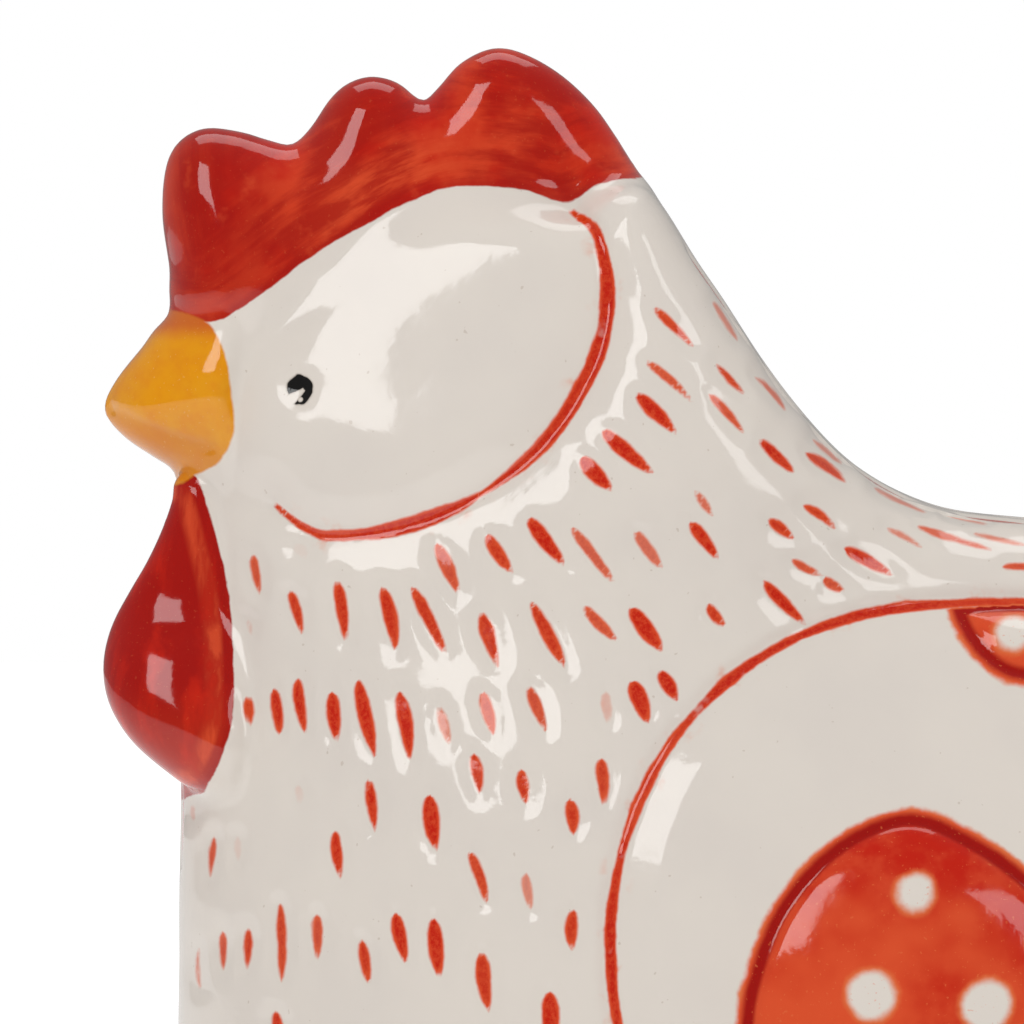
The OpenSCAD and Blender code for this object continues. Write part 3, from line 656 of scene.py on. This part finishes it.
class Nodes:
    """Builds a material's nodes. A value may be a number, a colour or another node's output."""

    def __init__(self, name):
        self.material = bpy.data.materials.new(name)
        self.material.use_nodes = True
        self.tree = self.material.node_tree
        self.shader = self.tree.nodes["Principled BSDF"]

    def put(self, socket, value):
        if isinstance(value, bpy.types.NodeSocket):
            self.tree.links.new(value, socket)
        else:
            socket.default_value = value

    def node(self, kind, output=0, settings=(), **inputs):
        node = self.tree.nodes.new("ShaderNode" + kind)
        for key, value in dict(settings).items():
            setattr(node, key, value)
        for key, value in inputs.items():
            self.put(node.inputs[key.replace("_", " ")], value)
        return node.outputs[output]

    def math(self, operation, a, b=0.0, c=0.0):
        node = self.tree.nodes.new("ShaderNodeMath")
        node.operation = operation
        for socket, value in zip(node.inputs, (a, b, c)):
            self.put(socket, value)
        return node.outputs[0]

    def add(self, a, b):
        return self.math("ADD", a, b)

    def minus(self, a, b):
        return self.math("SUBTRACT", a, b)

    def times(self, a, b):
        return self.math("MULTIPLY", a, b)

    def length(self, a, b):
        return self.math("SQRT", self.add(self.times(a, a), self.times(b, b)))

    def ramp(self, value, low, high, to_low=0.0, to_high=1.0):
        node = self.tree.nodes.new("ShaderNodeMapRange")
        node.interpolation_type = "SMOOTHSTEP"
        entries = {"Value": value, "From Min": low, "From Max": high, "To Min": to_low, "To Max": to_high}
        for key, entry in entries.items():
            self.put(node.inputs[key], entry)
        return node.outputs["Result"]

    def mix(self, factor, a, b):
        node = self.tree.nodes.new("ShaderNodeMix")
        node.data_type = "RGBA"
        self.put(node.inputs["Factor"], factor)
        self.put(node.inputs["A"], a)
        self.put(node.inputs["B"], b)
        return node.outputs["Result"]

    def attribute(self, name):
        return self.node("Attribute", "Fac", {"attribute_name": name, "attribute_type": "GEOMETRY"})

    def place(self):
        return self.node("TexCoord", "Object")

    def noise(self, scale, detail=2.0, rough=0.5, stretch=None):
        """Noise from 0 to 1. The scale is in turns per metre."""
        vector = self.place()
        if stretch:
            vector = self.node("Mapping", 0, Vector=vector, Scale=stretch)
        return self.node("TexNoise", "Fac", Vector=vector, Scale=scale, Detail=detail, Roughness=rough)

    def bump(self, height, distance, strength=1.0, normal=None):
        inputs = {"Height": height, "Distance": distance, "Strength": strength}
        if normal:
            inputs["Normal"] = normal
        return self.node("Bump", 0, **inputs)


WHITE = rgb(230, 221, 211)
WHITE_SHADE = rgb(226, 217, 208)
BISQUE = rgb(214, 200, 182)
PINHOLE = rgb(180, 160, 140)
RED_DARK = rgb(166, 10, 0)
RED = rgb(200, 28, 2)
RED_LIGHT = rgb(226, 82, 42)
ORANGE = rgb(230, 122, 70)
AMBER = rgb(235, 154, 6)
AMBER_LIGHT = rgb(230, 160, 36)
AMBER_DARK = rgb(226, 130, 14)
AMBER_UNDER = rgb(214, 126, 36)
AMBER_STAINED = rgb(205, 84, 34)
AMBER_SPECK = rgb(238, 186, 110)
BLACK = rgb(18, 16, 15)
BLACK_THIN = rgb(120, 96, 70)


class Glaze(Nodes):
    """The painted glaze, with the noises that all its paints share. Depths are in millimetres."""

    def __init__(self, name):
        super().__init__(name)
        self.x = self.attribute("drawn_x")
        self.z = self.attribute("drawn_z")
        self.grain = self.noise(1500, 3, 0.7)
        self.blot = self.noise(260, 3, 0.6)
        self.cloud = self.noise(60, 3, 0.55)
        self.speck = self.ramp(self.noise(2600, 1, 0.5), 0.68, 0.76)
        self.wobble = self.times(self.minus(self.blot, 0.5), 0.7)

    def covered(self, name, soft=0.14, shift=0.0):
        """How far a paint covers the glaze: its edge wavers and is a little feathered."""
        depth = self.add(self.attribute(name), self.wobble)
        return self.ramp(depth, shift - soft, shift + soft)

    def thinned(self, paint, share):
        """Paint that is thin and light in its grain."""
        return self.mix(self.times(self.ramp(self.grain, 0.35, 0.7), share), paint, RED_LIGHT)


def white_ground(n):
    """The white clay under the glaze, with faint clouds and pinholes."""
    colour = n.mix(n.ramp(n.cloud, 0.35, 0.75), WHITE, WHITE_SHADE)
    pinhole = n.times(n.ramp(n.noise(1100, 1, 0.5), 0.76, 0.8), 0.35)
    return n.mix(pinhole, colour, PINHOLE)


def feather_marks(n, colour):
    """Thin and orange at the edge, grainy red inside, and uneven in cover."""
    strength = n.attribute("mark_strength")
    inside = n.ramp(n.attribute("mark"), 0.0, 0.5)
    red = n.thinned(n.mix(inside, RED_LIGHT, RED), 0.6)
    red = n.mix(strength, ORANGE, red)
    cover = n.times(n.covered("mark", 0.24, -0.02), n.ramp(strength, 0.0, 0.9, 0.1, 1.0))
    cover = n.times(cover, n.ramp(n.add(n.blot, strength), 0.6, 1.1, 0.45, 1.0))
    return n.mix(cover, colour, red)


def brushed_lines(n, colour):
    """The drawn lines of the cheek, the wing and the tail, stained with thin paint here and there."""
    depth = n.attribute("line")
    stroke = n.thinned(n.mix(n.ramp(depth, 0.0, 0.45), RED_LIGHT, RED), 0.55)
    stroke = n.mix(n.times(n.ramp(n.cloud, 0.45, 0.65), 0.6), stroke, RED_LIGHT)
    stain = n.times(n.ramp(depth, -2.0, -0.1), n.ramp(n.blot, 0.58, 0.8, 0.0, 0.45))
    colour = n.mix(stain, colour, ORANGE)
    return n.mix(n.times(n.covered("line", 0.2), n.ramp(n.blot, 0.15, 0.4, 0.5, 1.0)), colour, stroke)


def wing_patches(n, colour):
    """A thin feathered edge, a dark line in the groove, and a raised middle with white dots."""
    depth = n.attribute("patch")
    middle = n.mix(n.ramp(n.cloud, 0.35, 0.65), RED, RED_LIGHT)
    middle = n.mix(n.times(n.ramp(n.blot, 0.4, 0.75), 0.5), middle, RED_LIGHT)
    thin = n.times(n.ramp(n.blot, 0.35, 0.7), n.ramp(depth, 0.8, 0.0, 0.2, 0.9))
    edge = n.mix(thin, RED_LIGHT, ORANGE)
    fill = n.mix(n.ramp(n.add(depth, n.wobble), 0.3, 1.2), edge, RED_DARK)
    fill = n.mix(n.ramp(depth, 1.9, 2.6), fill, middle)
    dot = n.math("MULTIPLY_ADD", n.wobble, 2.0, n.attribute("dot"))
    fill = n.mix(n.times(n.ramp(dot, -0.9, 0.0), 0.8), fill, ORANGE)
    fill = n.mix(n.ramp(dot, -0.4, 0.8), fill, WHITE)
    fill = n.mix(n.times(n.speck, 0.4), fill, ORANGE)
    wavering = n.math("MULTIPLY_ADD", n.wobble, 2.2, depth)
    return n.mix(n.ramp(wavering, -0.3, 0.45), colour, fill)


def comb_paint(n, colour):
    """Brushed along the comb's lower border, with a lighter sweep there, and dark over the beak."""
    depth = n.attribute("comb")
    across = n.node("CombineXYZ", 0, X=n.times(n.x, 0.1), Y=n.times(depth, 0.45), Z=0.0)
    streak = n.node("TexNoise", "Fac", Vector=across, Scale=1.0, Detail=4.0, Roughness=0.6)
    shade = n.math("MULTIPLY_ADD", streak, 0.4, n.times(n.cloud, 0.6))
    fill = n.mix(n.ramp(n.noise(85, 4, 0.6), 0.42, 0.62, 0.5, 0.0), RED, RED_LIGHT)
    fill = n.mix(n.times(n.ramp(shade, 0.46, 0.6), 0.8), fill, RED_DARK)
    sweep = n.times(n.ramp(depth, 0.7, 2.2), n.ramp(depth, 3.5, 8.0, 1.0, 0.0))
    sweep = n.times(sweep, n.ramp(n.x, -72.0, -64.0))
    sweep = n.times(sweep, n.ramp(n.x, -50.0, -60.0, 0.15, 1.0))
    fill = n.mix(n.times(sweep, n.ramp(streak, 0.35, 0.6, 0.95, 0.15)), fill, RED_LIGHT)
    front = n.times(n.ramp(n.x, -72.0, -80.0), n.ramp(n.cloud, 0.3, 0.6, 0.2, 0.6))
    fill = n.mix(front, fill, RED_DARK)
    # Painted shade: darker red right along the lower border, where the comb turns in over the crease it
    # grows from.
    fill = n.mix(n.times(n.ramp(depth, 1.2, 0.2), 0.5), fill, RED_DARK)
    fill = n.mix(n.times(n.ramp(n.blot, 0.6, 0.8), 0.4), fill, RED_LIGHT)
    fill = n.mix(n.times(n.speck, 0.12), fill, ORANGE)
    return n.mix(n.covered("comb"), colour, fill)


def wattle_paint(n, colour):
    """Brushed from top to bottom, dark down its middle and along its rear edge."""
    depth = n.attribute("wattle")
    brush = n.noise(260, 4, 0.6, stretch=(1, 1, 0.22))
    fill = n.mix(n.ramp(brush, 0.25, 0.55), RED, RED_DARK)
    fill = n.mix(n.times(n.ramp(n.z, 104.0, 92.0), 0.2), fill, RED_LIGHT)
    from_middle = n.math("ABSOLUTE", n.add(n.x, 86.2))
    stripe = n.times(n.ramp(from_middle, 0.6, 2.8, 1.0, 0.0), n.ramp(n.z, 103.0, 110.0))
    fill = n.mix(n.times(stripe, 0.8), fill, RED_DARK)
    sweep = n.times(n.ramp(depth, 1.0, 1.8), n.ramp(depth, 2.6, 4.0, 1.0, 0.0))
    fill = n.mix(n.times(sweep, n.ramp(brush, 0.4, 0.6, 0.1, 0.75)), fill, RED_LIGHT)
    fill = n.mix(n.times(n.ramp(depth, 1.0, 0.3), 0.6), fill, RED_DARK)
    fill = n.mix(n.times(n.speck, 0.12), fill, ORANGE)
    return n.mix(n.covered("wattle"), colour, fill)


def tail_paint(n, colour):
    """A red edge round the tail's lobes."""
    fill = n.mix(n.ramp(n.attribute("tail"), 0.2, 2.5), RED_LIGHT, RED)
    fill = n.mix(n.ramp(n.noise(130, 4, 0.6), 0.45, 0.75), fill, RED_DARK)
    fill = n.mix(n.times(n.speck, 0.12), fill, ORANGE)
    return n.mix(n.covered("tail", 0.5), colour, fill)


def beak_paint(n, colour):
    """Amber, browner below the parting, and stained red where it meets the comb."""
    fill = n.mix(n.ramp(n.cloud, 0.35, 0.65), AMBER, AMBER_LIGHT)
    fill = n.mix(n.times(n.ramp(n.blot, 0.4, 0.7), 0.5), fill, AMBER_DARK)
    parting = n.math("MULTIPLY_ADD", n.x, -0.34, 103.0)
    fill = n.mix(n.times(n.ramp(n.minus(parting, n.z), -1.2, 1.2), 0.6), fill, AMBER_UNDER)
    fill = n.mix(n.times(n.ramp(n.z, 143.6, 146.2), 0.75), fill, AMBER_STAINED)
    fill = n.mix(n.times(n.speck, 0.4), fill, AMBER_SPECK)
    return n.mix(n.covered("beak", 0.22), colour, fill)


def eye_paint(n, colour):
    """A black blot, its unpainted lower-left tongue also a painted reflection, and a painted white glint."""
    right, up = n.minus(n.x, -72.35), n.minus(n.z, 138.15)
    blot_depth = n.minus(1.75, n.length(n.times(right, 1.1), n.times(up, 0.95)))
    blot_depth = n.add(blot_depth, n.times(n.wobble, 1.6))
    # The tongue is left unpainted, and its white also stands in for a painted reflection in the eye's
    # dimple.
    from_root, above_root = n.add(right, 1.85), n.add(up, 1.75)
    along = n.add(n.times(from_root, 0.77), n.times(above_root, 0.64))
    beside = n.minus(n.times(above_root, 0.77), n.times(from_root, 0.64))
    tongue = n.minus(n.math("MULTIPLY_ADD", along, -0.26, 0.95), n.math("ABSOLUTE", beside))
    tongue = n.math("MINIMUM", tongue, n.minus(2.9, along))
    # Painted highlight: a pin-sized white glint that the black leaves free.
    painted_glint = n.minus(0.3, n.length(right, n.add(up, 1.15)))
    bare_and_glint = n.math("MAXIMUM", tongue, painted_glint)
    pupil = n.math("MINIMUM", blot_depth, n.times(bare_and_glint, -1.0))
    colour = n.mix(n.times(n.ramp(pupil, -0.25, 0.05), 0.35), colour, BLACK_THIN)
    return n.mix(n.ramp(pupil, -0.05, 0.1), colour, BLACK)


def bare_foot(n):
    """Where the foot ring is wiped clean of glaze before firing."""
    height = n.node("SeparateXYZ", "Z", Vector=n.place())
    return n.ramp(n.add(height, n.times(n.wobble, 0.001)), 0.0016, 0.0010)


def glazed_paint():
    n = Glaze("glazed_paint")
    colour = white_ground(n)
    for paint in (feather_marks, brushed_lines, wing_patches, comb_paint, wattle_paint, tail_paint,
                  beak_paint, eye_paint):
        colour = paint(n, colour)
    foot = bare_foot(n)
    colour = n.mix(foot, colour, n.mix(n.grain, BISQUE, WHITE_SHADE))
    gloss = n.ramp(n.blot, 0.2, 0.8, 0.05, 0.1)
    n.put(n.shader.inputs["Base Color"], colour)
    n.put(n.shader.inputs["Roughness"], n.math("MAXIMUM", gloss, n.times(foot, 0.75)))
    n.shader.inputs["IOR"].default_value = 1.52
    waves = n.bump(n.noise(90, 2, 0.4), 0.0006, 0.22)
    n.put(n.shader.inputs["Normal"], n.bump(n.noise(700, 2, 0.5), 0.00003, 0.5, waves))
    return n.material


def metal(name, light, dark, scale, stretch, rough):
    """Brushed or turned metal: lines run across the stretch, with stains and a worn sheen."""
    n = Nodes(name)
    lines = n.noise(scale, 3, 0.6, stretch=stretch)
    stain = n.noise(180, 4, 0.65)
    colour = n.mix(n.ramp(stain, 0.35, 0.75), light, dark)
    colour = n.mix(n.times(n.ramp(lines, 0.3, 0.7), 0.35), colour, dark)
    worn = n.ramp(stain, 0.3, 0.8, rough, rough + 0.14)
    n.put(n.shader.inputs["Base Color"], colour)
    n.shader.inputs["Metallic"].default_value = 1.0
    n.put(n.shader.inputs["Roughness"], n.add(worn, n.times(lines, 0.08)))
    n.put(n.shader.inputs["Normal"], n.bump(lines, 0.00003, 0.4))
    return n.material


def moulded(name, light, dark, rough, texture_scale, depth):
    """Moulded plastic or rubber, with a fine texture."""
    n = Nodes(name)
    texture = n.noise(texture_scale, 3, 0.6)
    cloud = n.noise(120, 3, 0.6)
    colour = n.mix(n.ramp(cloud, 0.3, 0.75), light, dark)
    colour = n.mix(n.times(n.ramp(texture, 0.35, 0.7), 0.3), colour, dark)
    n.put(n.shader.inputs["Base Color"], colour)
    n.put(n.shader.inputs["Roughness"], n.ramp(texture, 0.2, 0.8, rough, rough + 0.12))
    n.put(n.shader.inputs["Normal"], n.bump(texture, depth, 0.5))
    return n.material


EVEN, ALONG_X, ALONG_Z = (1, 1, 1), (0.06, 1, 1), (1, 1, 0.06)
hen_mesh.materials.append(glazed_paint())
# Moulded: light, dark, roughness, texture in turns per metre, its depth in metres.
# Metal: light, dark, lines in turns per metre, their stretch, roughness.
finishes = {
    "well_plastic": moulded("well_plastic", rgb(40, 40, 43), rgb(28, 28, 30), 0.42, 1600, 0.00006),
    "gasket_rubber": moulded("gasket_rubber", rgb(34, 33, 32), rgb(22, 22, 22), 0.62, 900, 0.00005),
    "white_nylon": moulded("white_nylon", rgb(232, 228, 214), rgb(220, 214, 198), 0.36, 1200, 0.00002),
    "cast_plate": metal("cast_plate", rgb(176, 178, 180), rgb(132, 133, 136), 900, EVEN, 0.34),
    "zinc_screws": metal("zinc_screws", rgb(192, 196, 204), rgb(150, 154, 164), 1800, EVEN, 0.26),
    "pressed_steel": metal("pressed_steel", rgb(196, 198, 202), rgb(158, 160, 165), 2200, ALONG_Z, 0.24),
    "brass_screws": metal("brass_screws", rgb(224, 190, 112), rgb(178, 136, 66), 2000, EVEN, 0.2),
    "comb_steel": metal("comb_steel", rgb(178, 180, 184), rgb(138, 140, 146), 2600, ALONG_X, 0.22),
    "turned_steel": metal("turned_steel", rgb(190, 192, 196), rgb(148, 150, 155), 2400, (0.3, 1, 1), 0.2),
    "brass_parts": metal("brass_parts", rgb(214, 178, 104), rgb(166, 124, 60), 1500, (0.4, 1, 0.4), 0.27),
    "spring_steel": metal("spring_steel", rgb(104, 108, 124), rgb(62, 66, 84), 1900, ALONG_X, 0.28),
}
for row in frame["record"]["subparts"]:
    if row["material_slot"] in finishes:
        node = frame["nodes"][row["node"]]
        node.data.materials.clear()
        node.data.materials.append(finishes[row["material_slot"]])


SENSOR = 36
CAMERA_REACH = 10


def make_camera():
    data = bpy.data.cameras.new("camera")
    data.sensor_width = SENSOR
    data.lens = SENSOR * VIEW_DISTANCE / FRAME_WIDTH
    data.clip_end = CAMERA_REACH
    camera = bpy.data.objects.new("camera", data)
    bpy.context.scene.collection.objects.link(camera)
    camera.location = EYE_POINT * MM
    camera.rotation_euler = (Vector(VIEW_CENTRE) - Vector(EYE_POINT)).to_track_quat("-Z", "Y").to_euler()
    bpy.context.scene.camera = camera


# name, azimuth and elevation in degrees, distance, width and height in metres, strength
LIGHTS = [
    ("softbox_left", -40, 39, 1.2, 0.42, 0.53, 4.3),
    ("strip_right", 40, 35, 1.2, 0.26, 0.5, 3.0),
    ("behind_above", 180, 66, 1.2, 1.0, 0.5, 1.6),
    ("diffuse_fill", 20, 62, 1.6, 1.6, 1.2, 0.8),
]
LEFT_OUT_OF_REFLECTIONS = ("diffuse_fill",)


def area_light(name, azimuth, elevation, distance, width, height, strength):
    """A soft rectangular light, aimed at the middle of the view."""
    data = bpy.data.lights.new(name, "AREA")
    data.shape = "RECTANGLE"
    data.size = width
    data.size_y = height
    data.energy = strength * width * height * math.pi
    light = bpy.data.objects.new(name, data)
    bpy.context.scene.collection.objects.link(light)
    a, e = math.radians(azimuth), math.radians(elevation)
    aim = Vector(VIEW_CENTRE * MM)
    way = Vector((math.sin(a) * math.cos(e), -math.cos(a) * math.cos(e), math.sin(e)))
    light.location = aim + distance * way
    light.rotation_euler = (aim - light.location).to_track_quat("-Z", "Y").to_euler()
    light.visible_glossy = name not in LEFT_OUT_OF_REFLECTIONS


WORLD_FRONT, WORLD_BEHIND = 0.4, 0.6
WORLD_SEEN = 1.0
WORLD_IN_GLOSS = 0.45
FLOOR_GLOW, FLOOR_GLOW_SEEN = 0.3, 0.8


def make_world():
    """Even light all round, dimmer in reflections, and plain white where the camera sees it."""
    world = bpy.data.worlds.new("studio")
    bpy.context.scene.world = world
    world.use_nodes = True
    tree = world.node_tree
    background = tree.nodes["Background"]
    place = tree.nodes.new("ShaderNodeTexCoord")
    split = tree.nodes.new("ShaderNodeSeparateXYZ")
    tree.links.new(place.outputs["Generated"], split.inputs[0])
    ramp = tree.nodes.new("ShaderNodeMapRange")
    ramp.interpolation_type = "SMOOTHSTEP"
    ramp.inputs["From Min"].default_value = -0.7
    ramp.inputs["From Max"].default_value = 0.6
    ramp.inputs["To Min"].default_value = WORLD_FRONT
    ramp.inputs["To Max"].default_value = WORLD_BEHIND
    tree.links.new(split.outputs["Y"], ramp.inputs["Value"])
    paths = tree.nodes.new("ShaderNodeLightPath")
    dim = tree.nodes.new("ShaderNodeMapRange")
    dim.inputs["To Min"].default_value = 1.0
    dim.inputs["To Max"].default_value = WORLD_IN_GLOSS
    tree.links.new(paths.outputs["Is Glossy Ray"], dim.inputs["Value"])
    level = tree.nodes.new("ShaderNodeMath")
    level.operation = "MULTIPLY"
    tree.links.new(ramp.outputs["Result"], level.inputs[0])
    tree.links.new(dim.outputs["Result"], level.inputs[1])
    pick = tree.nodes.new("ShaderNodeMix")
    pick.data_type = "FLOAT"
    tree.links.new(paths.outputs["Is Camera Ray"], pick.inputs["Factor"])
    tree.links.new(level.outputs[0], pick.inputs["A"])
    pick.inputs["B"].default_value = WORLD_SEEN
    tree.links.new(pick.outputs["Result"], background.inputs["Strength"])
    background.inputs["Color"].default_value = (1, 1, 1, 1)


def make_floor():
    """Pale paper that glows a little, more to the camera than to the hen."""
    bpy.ops.mesh.primitive_plane_add(size=4, location=(0, 0, -0.0002))
    floor = bpy.context.object
    floor.name = "floor"
    n = Nodes("floor_paper")
    n.shader.inputs["Base Color"].default_value = (0.8, 0.8, 0.8, 1)
    n.shader.inputs["Emission Color"].default_value = (1, 1, 1, 1)
    glow = n.tree.nodes.new("ShaderNodeMapRange")
    glow.inputs["To Min"].default_value = FLOOR_GLOW
    glow.inputs["To Max"].default_value = FLOOR_GLOW_SEEN
    n.put(glow.inputs["Value"], n.node("LightPath", "Is Camera Ray"))
    n.put(n.shader.inputs["Emission Strength"], glow.outputs["Result"])
    floor.data.materials.append(n.material)


make_camera()
make_world()
make_floor()
for light_row in LIGHTS:
    area_light(*light_row)
bpy.context.scene.view_settings.view_transform = "Standard"
